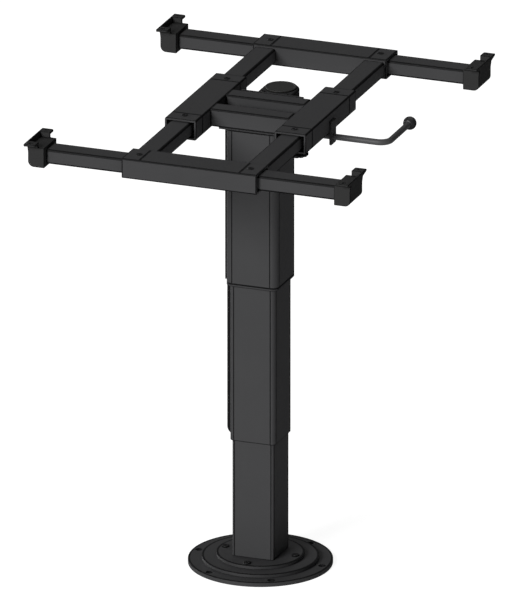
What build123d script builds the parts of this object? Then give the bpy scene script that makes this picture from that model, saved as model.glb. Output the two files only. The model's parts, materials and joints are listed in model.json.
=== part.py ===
from build123d import *
import os
from math import cos, pi, sin

# Lifting column for a table: a round floor flange, three telescoping square tubes and a sliding
# head frame whose four end brackets carry a table top. Millimetres, +Z up, the origin is on the
# floor at the middle of the flange, and the column stands raised with the frame in its middle.

# Floor flange and foot
floor_dia = 210.0
floor_thick = 6.5
floor_hole_edge = 10.0
floor_hole_dia = 5.5
floor_sink_dia = 10.0
floor_sink_depth = 2.6
floor_hole_count = 6
spacer_step = 20.0
spacer_thick = 5.0
foot_step = 21.0
foot_thick = 5.0
foot_bolt_edge = 10.0
foot_bolt_dia = 6.0
foot_bolt_head_dia = 11.0
foot_bolt_head_high = 2.4
foot_bolt_head_edge = 0.8
foot_bolt_socket_rad = 1.5
foot_bolt_socket_deep = 1.6
foot_bolt_into_floor = 3.2
foot_bolt_count = 4
disc_edge = 1.0

# Telescoping tubes: the upper one's width, then each wall, corner radius and room for the next tube
upper_wide = 80.0
upper_wall = 2.0
upper_round = 10.0
upper_room = 3.0
middle_wall = 2.0
middle_round = 6.0
middle_room = 1.0
lower_wall = 2.5
lower_round = 3.0
lower_shown = 178.5
middle_shown = 238.0
upper_long = 237.0
stage_stroke = 165.0
end_gap = 2.0
near_gap = 1.0
slide_gap = 0.2
least_corner = 0.4
hex_sides = 6

# Plastic glides between the tubes
lower_glide_high = 30.0
upper_glide_high = 16.0
bezel_high = 3.0

# Belt drive on the -X side, which makes the upper tube rise as far again as the middle one
pulley_rad = 8.0
pulley_flange_rad = 9.7
pulley_wide = 13.0
pulley_flange_wide = 1.2
pulley_hub_rad = 4.5
pulley_axis_out = 1.2
axle_rad = 2.5
axle_clear = 0.05
belt_thick = 1.4
belt_wide = 9.6
belt_clear = 0.15
groove_wide = 20.0
groove_deep = 6.5
guard_half = 11.0
guard_wall = 1.5
guard_out = 12.4
guard_low_round = 12.0
guard_lip = 5.0
channel_gap = 0.8
channel_wall = 1.4
pulley_drop = 12.5
clamp_high = 10.0
clamp_neck_gap = 0.4

# Gas spring inside the column
cap_thick = 10.0
cylinder_rad = 11.0
cylinder_wall = 1.5
cylinder_long = 250.0
cylinder_above_cap = 1.2
gland_high = 8.0
rod_rad = 4.0
rod_clear = 0.08
piston_high = 5.0
piston_clear = 0.3
nut_high = 4.0
nut_rad = 6.5
pin_rad = 1.6
pin_clear = 0.1
pin_above_rod = 2.6
pin_bore_deep = 6.0
pin_room = 3.0

# Head plate, bars and rear cover
plate_thick = 5.0
plate_overhang = 10.0
plate_front_edge = 6.0
flange_thick = 4.0
flange_inset = 2.0
bar_gap = 0.5
valve_hole_rad = 15.0
bar_side = 27.0
bar_wall = 2.5
bar_round = 2.7
bar_bolt_rad = 3.0
bar_bolt_head_rad = 5.0
bar_bolt_head_high = 4.0
bar_bolt_offset = 27.0
cover_half_wide = 26.6
cover_straight = 33.5
cover_top_drop = 3.0
cover_high = 26.0
cover_edge = 1.6
cover_wall = 2.0
lid_rad = 23.0
lid_high = 2.4
lid_edge = 1.0
cover_screw_rad = 3.2
cover_screw_high = 1.6
cover_screw_edge = 0.6
cover_screw_x = 18.0
cover_screw_from_flange = 8.0

# Sleeves, rails and arms of the sliding frame
sleeve_wide = 48.0
sleeve_high = 30.0
sleeve_wall = 3.4
sleeve_round = 2.2
sleeve_half_long = 103.0
sleeve_offset = 84.0
collar_long = 27.0
sleeve_screw_from_end = 18.0
sleeve_screw_head_rad = 4.6
sleeve_screw_head_high = 1.0
sleeve_screw_rad = 2.4
sleeve_screw_socket_rad = 2.0
rail_wide = 32.0
rail_high = 22.0
rail_wall = 2.0
rail_round = 3.0
cross_offset = 265.0
guide_long = 30.0
guide_gap = 0.25
guide_end_gap = 0.5

# End brackets under the table top
bracket_inner = 221.0
bracket_deep = 25.0
bracket_half_long = 25.0
bracket_round = 9.0
bracket_wall = 3.0
bracket_top_thick = 4.0
lip_high = 8.0
lip_thick = 3.0
lip_flare = 2.0
lug_half_long = 38.0
lug_deep = 18.0
lug_thick = 3.5
lug_riser = 3.0
lug_rib_high = 3.5
lug_hole_rad = 2.25
lug_round = 3.0
spigot_long = 16.0
spigot_clear = 0.1
spigot_wall = 2.5
spigot_round = 1.5

# Height lever
lever_rad = 4.5
lever_axis_y = 4.0
lever_below_plate = 5.5
lever_corner = 192.7
lever_bend = 15.6
lever_reach = 93.0
ball_rad = 9.8
lever_inner_end = 10.0
guide_plate_thick = 3.0
guide_plate_front = 11.5
guide_plate_back = 10.5
guide_plate_low = 10.5
guide_plate_high = 25.3
guide_plate_round = 3.0
bush_rad = 6.5
bush_flange_rad = 8.5
bush_flange_thick = 1.2
bush_clear = 0.08
finger_wide = 9.0
finger_rad = 6.5
finger_nose_rad = 2.0
finger_drop = 6.0
finger_gap = 0.3
bridge_thick = 8.0
bridge_half_deep = 12.0

# Slide clamp under the right sleeve
clamp_knob_rad = 16.0
clamp_knob_thick = 4.0
clamp_knob_drop = 9.0
clamp_hub_rad = 6.5
clamp_stem_rad = 3.0
clamp_stem_clear = 0.08
clamp_nut_rad = 8.0
clamp_nut_high = 5.0
clamp_from_end = 30.2
clamp_tip_gap = 0.4
clamp_grip_count = 12
clamp_grip_rad = 1.6
clamp_edge = 0.8

# Heights and places that follow from the sizes above
floor_hole_pcd = floor_dia - 2 * floor_hole_edge
spacer_dia = floor_dia - 2 * spacer_step
foot_dia = spacer_dia - 2 * foot_step
foot_bolt_pcd = foot_dia - 2 * foot_bolt_edge
middle_wide = upper_wide - 2 * (upper_wall + upper_room)
lower_wide = middle_wide - 2 * (middle_wall + middle_room)
bar_offset = upper_wide / 2 - upper_wall - near_gap - bar_bolt_head_rad
plate_half_wide = upper_wide / 2 + plate_overhang
plate_front = bar_offset + plate_front_edge
flange_half_wide = plate_half_wide - flange_inset
flange_back = bar_offset + bar_side / 2 + bar_gap + flange_thick
cover_centre_back = flange_back + cover_straight
spacer_bottom = floor_thick
foot_bottom = spacer_bottom + spacer_thick
base_top = foot_bottom + foot_thick
middle_bottom = base_top + lower_shown
upper_bottom = middle_bottom + middle_shown
upper_top = upper_bottom + upper_long
plate_top = upper_top + plate_thick
frame_top = plate_top + bar_side
sleeve_z = frame_top - sleeve_high / 2
lever_z = upper_top - lever_below_plate
pin_top = lever_z - finger_drop - finger_nose_rad - finger_gap
rod_top = pin_top - pin_above_rod
bridge_top = rod_top - near_gap
bridge_bottom = bridge_top - bridge_thick
middle_top = bridge_bottom - nut_high - end_gap - stage_stroke
cap_bottom = middle_top - cap_thick
lower_top = cap_bottom - stage_stroke - end_gap
belt_rad = pulley_rad + belt_clear + belt_thick
pulley_x = -middle_wide / 2 - pulley_axis_out
low_pulley_z = middle_bottom + pulley_drop
high_pulley_z = cap_bottom - belt_rad - near_gap
guard_x = -middle_wide / 2 - guard_out
channel_x = guard_x - channel_gap - channel_wall
channel_half = guard_half + channel_gap + channel_wall
lower_clamp_z = high_pulley_z - belt_rad - clamp_high / 2 - end_gap - stage_stroke
upper_clamp_z = upper_bottom + bezel_high + clamp_high / 2
rail_end = cross_offset - sleeve_wide / 2
bracket_outer = bracket_inner + bracket_deep
lip_bottom = frame_top - lip_high
lip_top = frame_top + lip_high
lug_edge = bracket_outer + lip_flare
lug_bottom = lip_top - lug_thick
clamp_y = -sleeve_half_long + clamp_from_end
cover_top = frame_top - cover_top_drop


def block(x0, x1, y0, y1, z0, z1):
    """A plain block between two corners."""
    return Pos((x0 + x1) / 2, (y0 + y1) / 2, (z0 + z1) / 2) * Box(x1 - x0, y1 - y0, z1 - z0)


def rod_z(rad, z0, z1, x=0.0, y=0.0):
    """A round bar along Z."""
    return Pos(x, y, (z0 + z1) / 2) * Cylinder(rad, z1 - z0)


def rod_x(rad, x0, x1, y, z):
    """A round bar along X."""
    return Pos((x0 + x1) / 2, y, z) * Rot(0, 90, 0) * Cylinder(rad, x1 - x0)


def rod_y(rad, y0, y1, x, z):
    """A round bar along Y."""
    return Pos(x, (y0 + y1) / 2, z) * Rot(90, 0, 0) * Cylinder(rad, y1 - y0)


def ring_section(wide, high, wall, corner):
    """The section of a tube with rounded corners."""
    inner_corner = max(corner - wall, least_corner)
    hollow = RectangleRounded(wide - 2 * wall, high - 2 * wall, inner_corner)
    return RectangleRounded(wide, high, corner) - hollow


def tube_z(wide, wall, corner, z0, z1):
    """An upright square tube."""
    return Pos(0, 0, z0) * extrude(ring_section(wide, wide, wall, corner), amount=z1 - z0)


def tube_y(wide, high, wall, corner, long):
    """A lying tube along Y, centred on the origin."""
    section = ring_section(wide, high, wall, corner)
    return Rot(90, 0, 0) * extrude(section, amount=long / 2, both=True)


def tube_x(wide, high, wall, corner, long):
    """A lying tube along X, centred on the origin."""
    section = ring_section(high, wide, wall, corner)
    return Rot(0, 90, 0) * extrude(section, amount=long / 2, both=True)


def around(count, rad, start=0.0):
    """Places on a circle about the column's axis."""
    turns = [start + 2 * pi * i / count for i in range(count)]
    return [(rad * cos(turn), rad * sin(turn)) for turn in turns]


# Base


def disc(dia, z0, thick):
    """One disc of the stepped foot, with its top edge broken."""
    plate = rod_z(dia / 2, z0, z0 + thick)
    return chamfer(plate.edges().sort_by(Axis.Z)[-1], disc_edge)


def floor_flange():
    """The bottom disc, with countersunk holes for the floor screws."""
    plate = disc(floor_dia, 0.0, floor_thick)
    for x, y in around(floor_hole_count, floor_hole_pcd / 2):
        plate -= rod_z(floor_hole_dia / 2, 0.0, floor_thick, x, y)
        sink = Cone(floor_hole_dia / 2, floor_sink_dia / 2, floor_sink_depth)
        plate -= Pos(x, y, floor_thick - floor_sink_depth / 2) * sink
    for x, y in around(foot_bolt_count, foot_bolt_pcd / 2):
        plate -= rod_z(foot_bolt_dia / 2, floor_thick - foot_bolt_into_floor, floor_thick, x, y)
    return plate


def drilled_disc(dia, z0, thick):
    """A disc that the foot bolts pass through."""
    plate = disc(dia, z0, thick)
    for x, y in around(foot_bolt_count, foot_bolt_pcd / 2):
        plate -= rod_z(foot_bolt_dia / 2, z0, z0 + thick, x, y)
    return plate


def foot_bolts():
    """Low round-headed socket bolts that hold the foot plate down."""
    head_top = base_top + foot_bolt_head_high
    bolts = []
    for x, y in around(foot_bolt_count, foot_bolt_pcd / 2):
        head = rod_z(foot_bolt_head_dia / 2, base_top, head_top, x, y)
        head = chamfer(head.edges().sort_by(Axis.Z)[-1], foot_bolt_head_edge)
        head -= rod_z(foot_bolt_socket_rad, head_top - foot_bolt_socket_deep, head_top, x, y)
        bolts.append(head + rod_z(foot_bolt_dia / 2, floor_thick - foot_bolt_into_floor, base_top, x, y))
    return Compound(bolts)


def belt_slot(z0, z1):
    """The room that the glides leave for the belt on the -X side."""
    return block(-upper_wide, 0, -groove_wide / 2, groove_wide / 2, z0, z1)


def lower_tube():
    """The standing tube, with a belt groove folded into its -X wall."""
    tube = tube_z(lower_wide, lower_wall, lower_round, base_top, lower_top)
    face = -lower_wide / 2
    half = groove_wide / 2
    tube += block(face, face + groove_deep + lower_wall, -half - lower_wall, half + lower_wall,
                  base_top, lower_top)
    return tube - block(face, face + groove_deep, -half, half, base_top, lower_top)


def lower_glide():
    """A plastic collar round the top of the lower tube, open at the belt groove."""
    thick = middle_room - slide_gap
    bottom = lower_top - lower_glide_high
    collar = tube_z(lower_wide + 2 * thick, thick, lower_round + thick, bottom, lower_top)
    return collar - belt_slot(bottom, lower_top)


def lower_belt_clamp():
    """The block in the groove that holds the inner run of the belt to the lower tube."""
    floor_x = -lower_wide / 2 + groove_deep
    return block(pulley_x + belt_rad + slide_gap, floor_x, -belt_wide / 2, belt_wide / 2,
                 lower_clamp_z - clamp_high / 2, lower_clamp_z + clamp_high / 2)


# Middle stage


def pulley_window(z):
    """The opening in the middle tube's wall for a pulley."""
    reach = belt_rad + near_gap
    return block(-middle_wide / 2, -middle_wide / 2 + middle_wall, -guard_half, guard_half,
                 z - reach, z + reach)


def middle_tube():
    """The middle tube, with windows for the two pulleys."""
    tube = tube_z(middle_wide, middle_wall, middle_round, middle_bottom, middle_top)
    for z in (low_pulley_z, high_pulley_z):
        tube -= pulley_window(z)
    return tube


def belt_guard():
    """The channel on the middle tube's -X side, rounded below, with a slot for the clamp."""
    face = -middle_wide / 2
    outline = block(guard_x, face, -guard_half, guard_half, middle_bottom, middle_top)
    low_edge = outline.edges().filter_by(Axis.Y).group_by(Axis.Z)[0].sort_by(Axis.X)[0]
    outline = fillet(low_edge, guard_low_round)
    inside = block(guard_x + guard_wall, face, -guard_half + guard_wall, guard_half - guard_wall,
                   middle_bottom + guard_wall, middle_top)
    low_inner = inside.edges().filter_by(Axis.Y).group_by(Axis.Z)[0].sort_by(Axis.X)[0]
    inside = fillet(low_inner, guard_low_round - guard_wall)
    slot_half = guard_half - guard_lip
    slot = block(guard_x, guard_x + guard_wall, -slot_half, slot_half,
                 low_pulley_z + guard_out, middle_top)
    guard = outline - inside - slot
    for z in (low_pulley_z, high_pulley_z):
        guard -= rod_y(axle_rad, -guard_half, guard_half, pulley_x, z)
    return guard


def pulley(z):
    """A flat belt pulley with two flanges and a hub."""
    half = pulley_wide / 2
    hub_half = guard_half - guard_wall - slide_gap
    wheel = rod_y(pulley_rad, -half, half, pulley_x, z)
    wheel += rod_y(pulley_hub_rad, -hub_half, hub_half, pulley_x, z)
    for side in (-1, 1):
        inner = side * (half - pulley_flange_wide)
        y0, y1 = sorted((inner, side * half))
        wheel += rod_y(pulley_flange_rad, y0, y1, pulley_x, z)
    return wheel - rod_y(axle_rad + axle_clear, -hub_half, hub_half, pulley_x, z)


def pulley_axles():
    """The two pins that the pulleys turn on, held in the guard's side walls."""
    return Compound([rod_y(axle_rad, -guard_half, guard_half, pulley_x, z)
                     for z in (low_pulley_z, high_pulley_z)])


def belt():
    """The flat belt, a closed loop round both pulleys."""
    centre_high = high_pulley_z - low_pulley_z
    inner_rad = pulley_rad + belt_clear
    outer = SlotCenterToCenter(centre_high, 2 * belt_rad)
    inner = SlotCenterToCenter(centre_high, 2 * inner_rad)
    loop = extrude(outer - inner, amount=belt_wide / 2, both=True)
    middle_z = (low_pulley_z + high_pulley_z) / 2
    return Pos(pulley_x, 0, middle_z) * Rot(0, 90, 0) * Rot(90, 0, 0) * loop


def middle_cap():
    """The end cap of the middle tube, which holds the gas spring's cylinder."""
    half = middle_wide / 2 - middle_wall
    cap = extrude(RectangleRounded(2 * half, 2 * half, middle_round - middle_wall), amount=cap_thick)
    cap = Pos(0, 0, cap_bottom) * cap
    return cap - rod_z(cylinder_rad, cap_bottom, middle_top)


def middle_low_glide():
    """A plastic lining in the foot of the middle tube."""
    thick = middle_room - slide_gap
    wide = middle_wide - 2 * middle_wall
    top = middle_bottom + lower_glide_high
    lining = tube_z(wide, thick, middle_round - middle_wall, middle_bottom, top)
    return lining - belt_slot(middle_bottom, top)


def middle_high_glide():
    """A plastic collar round the top of the middle tube, open at the belt guard."""
    thick = upper_room - slide_gap
    bottom = middle_top - upper_glide_high
    collar = tube_z(middle_wide + 2 * thick, thick, middle_round + thick, bottom, middle_top)
    return collar - block(-upper_wide, 0, -guard_half, guard_half, bottom, middle_top)


def gas_cylinder():
    """The pressure tube of the gas spring, closed below, with a gland for the rod above."""
    top = middle_top + cylinder_above_cap
    tube = rod_z(cylinder_rad, top - cylinder_long, top)
    tube -= rod_z(cylinder_rad - cylinder_wall, top - cylinder_long + cylinder_wall, top - gland_high)
    return tube - rod_z(rod_rad + rod_clear, top - gland_high, top)


# Head: the upper tube and all that is fixed to it


def channel_outline(z0, z1):
    """The bulge of the upper tube round the belt guard."""
    return block(channel_x, -upper_wide / 2 + upper_wall, -channel_half, channel_half, z0, z1)


def upper_tube():
    """The top tube, with a channel in its -X wall for the belt guard."""
    z0 = upper_bottom + bezel_high
    tube = tube_z(upper_wide, upper_wall, upper_round, z0, upper_top)
    tube += channel_outline(z0, upper_top)
    tube -= block(channel_x + channel_wall, -upper_wide / 2 + upper_wall, -channel_half + channel_wall,
                  channel_half - channel_wall, z0, upper_top)
    return tube - rod_x(bush_rad, 0, upper_wide, lever_axis_y, lever_z)


def upper_glide():
    """The bezel and lining at the foot of the upper tube."""
    thick = upper_room - slide_gap
    wide = upper_wide - 2 * upper_wall
    top = upper_bottom + upper_glide_high
    lining = tube_z(wide, thick, upper_round - upper_wall, upper_bottom, top)
    lip_wall = thick + upper_wall
    lining += tube_z(upper_wide, lip_wall, upper_round, upper_bottom, upper_bottom + bezel_high)
    lining += channel_outline(upper_bottom, upper_bottom + bezel_high)
    room_x = channel_x + channel_wall
    room_half = channel_half - channel_wall
    return lining - block(room_x, 0, -room_half, room_half, upper_bottom, top)


def upper_belt_clamp():
    """The block that holds the outer run of the belt to the upper tube."""
    belt_x = pulley_x - belt_rad - slide_gap
    neck_half = guard_half - guard_lip - clamp_neck_gap
    z0 = upper_clamp_z - clamp_high / 2
    z1 = upper_clamp_z + clamp_high / 2
    return block(channel_x + channel_wall, belt_x, -neck_half, neck_half, z0, z1)


def head_plate():
    """The bent plate on the upper tube, with its upright rear flange."""
    plate = block(-plate_half_wide, plate_half_wide, -plate_front, flange_back, upper_top, plate_top)
    plate += block(-flange_half_wide, flange_half_wide, flange_back - flange_thick, flange_back,
                   upper_top, frame_top)
    for x in (-bar_bolt_offset, bar_bolt_offset):
        for y in (-bar_offset, bar_offset):
            plate -= rod_z(bar_bolt_rad, upper_top, plate_top, x, y)
    return plate - rod_z(valve_hole_rad, upper_top, plate_top)


def cross_bar(y):
    """One of the two square bars that join the long sleeves."""
    inner_face = sleeve_offset - sleeve_wide / 2
    bar = tube_x(bar_side, bar_side, bar_wall, bar_round, 2 * inner_face)
    bar = Pos(0, y, frame_top - bar_side / 2) * bar
    for x in (-bar_bolt_offset, bar_bolt_offset):
        bar -= rod_z(bar_bolt_rad, plate_top, plate_top + bar_wall, x, y)
    return bar


def bar_bolts():
    """The bolts under the head plate that hold the cross bars."""
    bolts = []
    for x in (-bar_bolt_offset, bar_bolt_offset):
        for y in (-bar_offset, bar_offset):
            head = rod_z(bar_bolt_head_rad, upper_top - bar_bolt_head_high, upper_top, x, y)
            bolts.append(head + rod_z(bar_bolt_rad, upper_top, plate_top + bar_wall, x, y))
    return Compound(bolts)


def rear_cover():
    """The round-ended housing behind the rear flange, open below."""
    def outline(inset):
        half = cover_half_wide - inset
        straight = cover_centre_back - flange_back - inset
        body = Pos(0, flange_back + inset + straight / 2) * Rectangle(2 * half, straight)
        return body + Pos(0, cover_centre_back) * Circle(half)

    bottom = cover_top - cover_high
    cover = Pos(0, 0, bottom) * extrude(outline(0.0), amount=cover_high)
    top_edges = cover.edges().group_by(Axis.Z)[-1]
    rim = top_edges.filter_by(lambda edge: edge.center().Y > flange_back + cover_wall)
    cover = chamfer(rim, cover_edge)
    cover -= Pos(0, 0, bottom) * extrude(outline(cover_wall), amount=cover_high - cover_wall)
    return cover


def rear_cover_lid():
    """The round lid on top of the rear cover."""
    lid = rod_z(lid_rad, cover_top, cover_top + lid_high, 0, cover_centre_back)
    return chamfer(lid.edges().sort_by(Axis.Z)[-1], lid_edge)


def cover_screws():
    """Two screws beside the flange that hold the rear cover."""
    y = flange_back + cover_screw_from_flange
    screws = []
    for x in (-cover_screw_x, cover_screw_x):
        head = rod_z(cover_screw_rad, cover_top, cover_top + cover_screw_high, x, y)
        screws.append(chamfer(head.edges().sort_by(Axis.Z)[-1], cover_screw_edge))
    return Compound(screws)


def gas_rod():
    """The piston rod, bored at the top for the release pin."""
    piston_top = middle_top + cylinder_above_cap - gland_high - end_gap
    rod = rod_z(rod_rad, piston_top, rod_top)
    rod += rod_z(cylinder_rad - cylinder_wall - piston_clear, piston_top - piston_high, piston_top)
    return rod - rod_z(pin_rad + pin_clear, rod_top - pin_bore_deep, rod_top)


def rod_bridge():
    """The bar across the upper tube that the piston rod pushes up on."""
    half = upper_wide / 2 - upper_wall
    bridge = block(-half, half, -bridge_half_deep, bridge_half_deep, bridge_bottom, bridge_top)
    return bridge - rod_z(rod_rad, bridge_bottom, bridge_top)


def rod_nut():
    """The hexagon nut under the bridge."""
    nut = extrude(RegularPolygon(nut_rad, hex_sides), amount=nut_high)
    nut = Pos(0, 0, bridge_bottom - nut_high) * nut
    return nut - rod_z(rod_rad, bridge_bottom - nut_high, bridge_bottom)


def lever_guide():
    """The plate on the right sleeve that the lever turns in."""
    x0 = sleeve_offset + sleeve_wide / 2
    plate = block(x0, x0 + guide_plate_thick,
                  lever_axis_y - guide_plate_front, lever_axis_y + guide_plate_back,
                  lever_z - guide_plate_low, lever_z + guide_plate_high)
    plate = fillet(plate.edges().filter_by(Axis.X), guide_plate_round)
    return plate - rod_x(lever_rad + bush_clear, x0, x0 + guide_plate_thick, lever_axis_y, lever_z)


def lever_bush():
    """The flanged bush in the upper tube's wall."""
    face = upper_wide / 2
    bush = rod_x(bush_rad, face - upper_wall, face, lever_axis_y, lever_z)
    bush += rod_x(bush_flange_rad, face, face + bush_flange_thick, lever_axis_y, lever_z)
    bush -= block(0, upper_wide, -upper_wide, upper_wide, upper_top, frame_top)
    return bush - rod_x(lever_rad + bush_clear, face - upper_wall, face + bush_flange_thick,
                        lever_axis_y, lever_z)


def clamp_nut():
    """The boss under the right sleeve that the clamp screw turns in."""
    bottom = sleeve_z - sleeve_high / 2
    nut = extrude(RegularPolygon(clamp_nut_rad, hex_sides), amount=clamp_nut_high)
    nut = Pos(sleeve_offset, clamp_y, bottom - clamp_nut_high) * nut
    return nut - rod_z(clamp_stem_rad + clamp_stem_clear, bottom - clamp_nut_high, bottom,
                       sleeve_offset, clamp_y)


# Sleeves: a tube with a flush collar at each end, and guides inside for the sliding tube


def sleeve_screw_hole(x, y):
    """The hole for a collar screw, through the top of a sleeve."""
    return rod_z(sleeve_screw_rad, frame_top - sleeve_wall, frame_top, x, y)


def sleeve(along_y):
    """The tube of a sleeve between its two collars, centred on the origin."""
    long = 2 * (sleeve_half_long - collar_long)
    make = tube_y if along_y else tube_x
    return make(sleeve_wide, sleeve_high, sleeve_wall, sleeve_round, long)


def sleeve_collars(along_y, place):
    """Two end collars, each flush with the sleeve."""
    make = tube_y if along_y else tube_x
    collars = []
    for side in (-1, 1):
        ring = make(sleeve_wide, sleeve_high, sleeve_wall, sleeve_round, collar_long)
        centre = side * (sleeve_half_long - collar_long / 2)
        shift = Pos(0, centre, 0) if along_y else Pos(centre, 0, 0)
        ring = place * shift * ring
        from_middle = side * (sleeve_half_long - sleeve_screw_from_end)
        spot = place * (Pos(0, from_middle, 0) if along_y else Pos(from_middle, 0, 0))
        collars.append(ring - sleeve_screw_hole(spot.position.X, spot.position.Y))
    return Compound(collars)


def collar_screws(spots):
    """The screws on top of the collars."""
    screws = []
    for x, y in spots:
        screw = rod_z(sleeve_screw_head_rad, frame_top, frame_top + sleeve_screw_head_high, x, y)
        screw += rod_z(sleeve_screw_rad, frame_top - sleeve_wall, frame_top, x, y)
        screw -= rod_z(sleeve_screw_socket_rad, frame_top, frame_top + sleeve_screw_head_high, x, y)
        screws.append(screw)
    return Compound(screws)


def slide_guides(along_y, place):
    """Plastic guides that fill the room beside the sliding tube, two near each end."""
    inner_half = sleeve_wide / 2 - sleeve_wall
    rail_half = rail_wide / 2 + guide_gap
    half_high = sleeve_high / 2 - sleeve_wall - guide_end_gap
    far = sleeve_half_long - collar_long
    pads = []
    for side in (-1, 1):
        for end in (-1, 1):
            a0, a1 = sorted((side * rail_half, side * inner_half))
            b0, b1 = sorted((end * (far - guide_long), end * far))
            if along_y:
                pad = block(a0, a1, b0, b1, -half_high, half_high)
            else:
                pad = block(b0, b1, a0, a1, -half_high, half_high)
            pads.append(place * pad)
    return Compound(pads)


# Sliding frame and arms


def lip_strip(low, half_long):
    """The outer lip of a bracket above a height, leaning outwards, drawn out along Y."""
    outer = bracket_outer + lip_flare * (low - lip_bottom) / (lip_top - lip_bottom)
    section = Polygon((outer - lip_thick, low), (outer, low), (lug_edge, lip_top),
                      (lug_edge - lip_thick, lip_top), align=None)
    return extrude(Plane.XZ * section, amount=half_long, both=True)


def bracket_lip():
    """The lip along the table's edge; past the body it is low and its underside rises to the ends."""
    rib_bottom = lug_bottom - lug_rib_high
    wing = lip_strip(rib_bottom, lug_half_long)
    wedge = Polygon((bracket_half_long, rib_bottom), (lug_half_long, rib_bottom),
                    (lug_half_long, lug_bottom), align=None)
    wedge = extrude(Plane.YZ * wedge, amount=lug_edge)
    wing -= wedge
    wing -= mirror(wedge, about=Plane.XZ)
    return lip_strip(lip_bottom, bracket_half_long) + wing


def screw_lug():
    """The lug past the +Y end of a bracket's body, on a riser, with a hole for a table screw."""
    inner = lug_edge - lug_deep
    back = bracket_half_long - lug_riser
    lug = block(inner, bracket_outer, back, lug_half_long, lug_bottom, lip_top)
    free_corner = lug.edges().filter_by(Axis.Z).group_by(Axis.X)[0].sort_by(Axis.Y)[-1]
    lug = fillet(free_corner, lug_round)
    lug += block(inner, bracket_outer, back, bracket_half_long, frame_top, lug_bottom)
    return lug - rod_z(lug_hole_rad, lug_bottom, lip_top, lug_edge - lug_deep / 2,
                       (bracket_half_long + lug_half_long) / 2)


def end_bracket(side, y):
    """One end bracket: a body on the arm's end, an outer lip and two screw lugs for the table top."""
    bottom = sleeve_z - sleeve_high / 2
    body = block(bracket_inner, bracket_outer, -bracket_half_long, bracket_half_long, bottom, frame_top)
    low_outer = body.edges().filter_by(Axis.Y).group_by(Axis.Z)[0].sort_by(Axis.X)[-1]
    body = fillet(low_outer, bracket_round)
    half_rail = rail_wide / 2
    for end in (-1, 1):
        y0, y1 = sorted((end * half_rail, end * (bracket_half_long - bracket_wall)))
        body -= block(bracket_inner + bracket_wall, bracket_outer - bracket_round, y0, y1,
                      bottom, frame_top - bracket_top_thick)
    body += bracket_lip()
    body += screw_lug()
    body += mirror(screw_lug(), about=Plane.XZ)

    plug_wide = rail_wide - 2 * rail_wall - 2 * spigot_clear
    plug_high = rail_high - 2 * rail_wall - 2 * spigot_clear
    plug = tube_x(plug_wide, plug_high, spigot_wall, spigot_round, spigot_long)
    body += Pos(bracket_inner - spigot_long / 2, 0, sleeve_z) * plug
    if side < 0:
        body = mirror(body, about=Plane.YZ)
    return Pos(0, y, 0) * body


def arm(y):
    """The tube that slides sideways through a cross sleeve."""
    return Pos(0, y, sleeve_z) * tube_x(rail_wide, rail_high, rail_wall, rail_round, 2 * bracket_inner)


def rail(x):
    """The tube that slides lengthways through a long sleeve."""
    return Pos(x, 0, sleeve_z) * tube_y(rail_wide, rail_high, rail_wall, rail_round, 2 * rail_end)


# Height lever, release pin and slide clamp


def lever_arm():
    """The bent round bar of the height lever."""
    corner = (lever_corner, lever_axis_y, lever_z)
    path = FilletPolyline((-lever_inner_end, lever_axis_y, lever_z), corner,
                          (lever_corner, lever_axis_y + lever_reach, lever_z), radius=lever_bend)
    section = Plane(path @ 0, z_dir=path % 0) * Circle(lever_rad)
    return sweep(section, path)


def lever_ball():
    """The ball knob on the end of the lever."""
    centre_y = lever_axis_y + lever_reach
    ball = Pos(lever_corner, centre_y, lever_z) * Sphere(ball_rad)
    return ball - rod_y(lever_rad, centre_y - ball_rad, centre_y, lever_corner, lever_z)


def release_finger():
    """The cam on the lever's inner end that presses the release pin down."""
    half = finger_wide / 2
    hub = rod_x(finger_rad, -half, half, lever_axis_y, lever_z)
    nose_z = lever_z - finger_drop
    nose = rod_x(finger_nose_rad, -half, half, 0, nose_z)
    web = block(-half, half, -finger_nose_rad, lever_axis_y, nose_z, lever_z)
    return hub + nose + web - rod_x(lever_rad, -half, half, lever_axis_y, lever_z)


def release_pin():
    """The pin in the end of the piston rod that opens the gas spring's valve."""
    return rod_z(pin_rad, rod_top - pin_bore_deep + pin_room, pin_top)


def clamp_screw():
    """The round clamp knob and its screw under the right sleeve."""
    bottom = sleeve_z - sleeve_high / 2
    knob_top = bottom - clamp_knob_drop
    knob = rod_z(clamp_knob_rad, knob_top - clamp_knob_thick, knob_top, sleeve_offset, clamp_y)
    knob = chamfer(knob.edges().group_by(Axis.Z)[0], clamp_edge)
    for x, y in around(clamp_grip_count, clamp_knob_rad):
        knob -= rod_z(clamp_grip_rad, knob_top - clamp_knob_thick, knob_top,
                      sleeve_offset + x, clamp_y + y)
    hub_top = bottom - clamp_nut_high - slide_gap
    knob += rod_z(clamp_hub_rad, knob_top, hub_top, sleeve_offset, clamp_y)
    tip = sleeve_z - rail_high / 2 - clamp_tip_gap
    return knob + rod_z(clamp_stem_rad, knob_top, tip, sleeve_offset, clamp_y)


def long_sleeve(x):
    """A sleeve along Y, fixed to the head."""
    return Pos(x, 0, sleeve_z) * sleeve(True)


def cross_sleeve(y):
    """A sleeve along X, on the ends of the rails."""
    return Pos(0, y, sleeve_z) * sleeve(False)


def drilled_right_sleeve():
    """The right long sleeve, drilled below for the clamp screw."""
    bottom = sleeve_z - sleeve_high / 2
    return long_sleeve(sleeve_offset) - rod_z(clamp_stem_rad + clamp_stem_clear, bottom,
                                              bottom + sleeve_wall, sleeve_offset, clamp_y)


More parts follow.
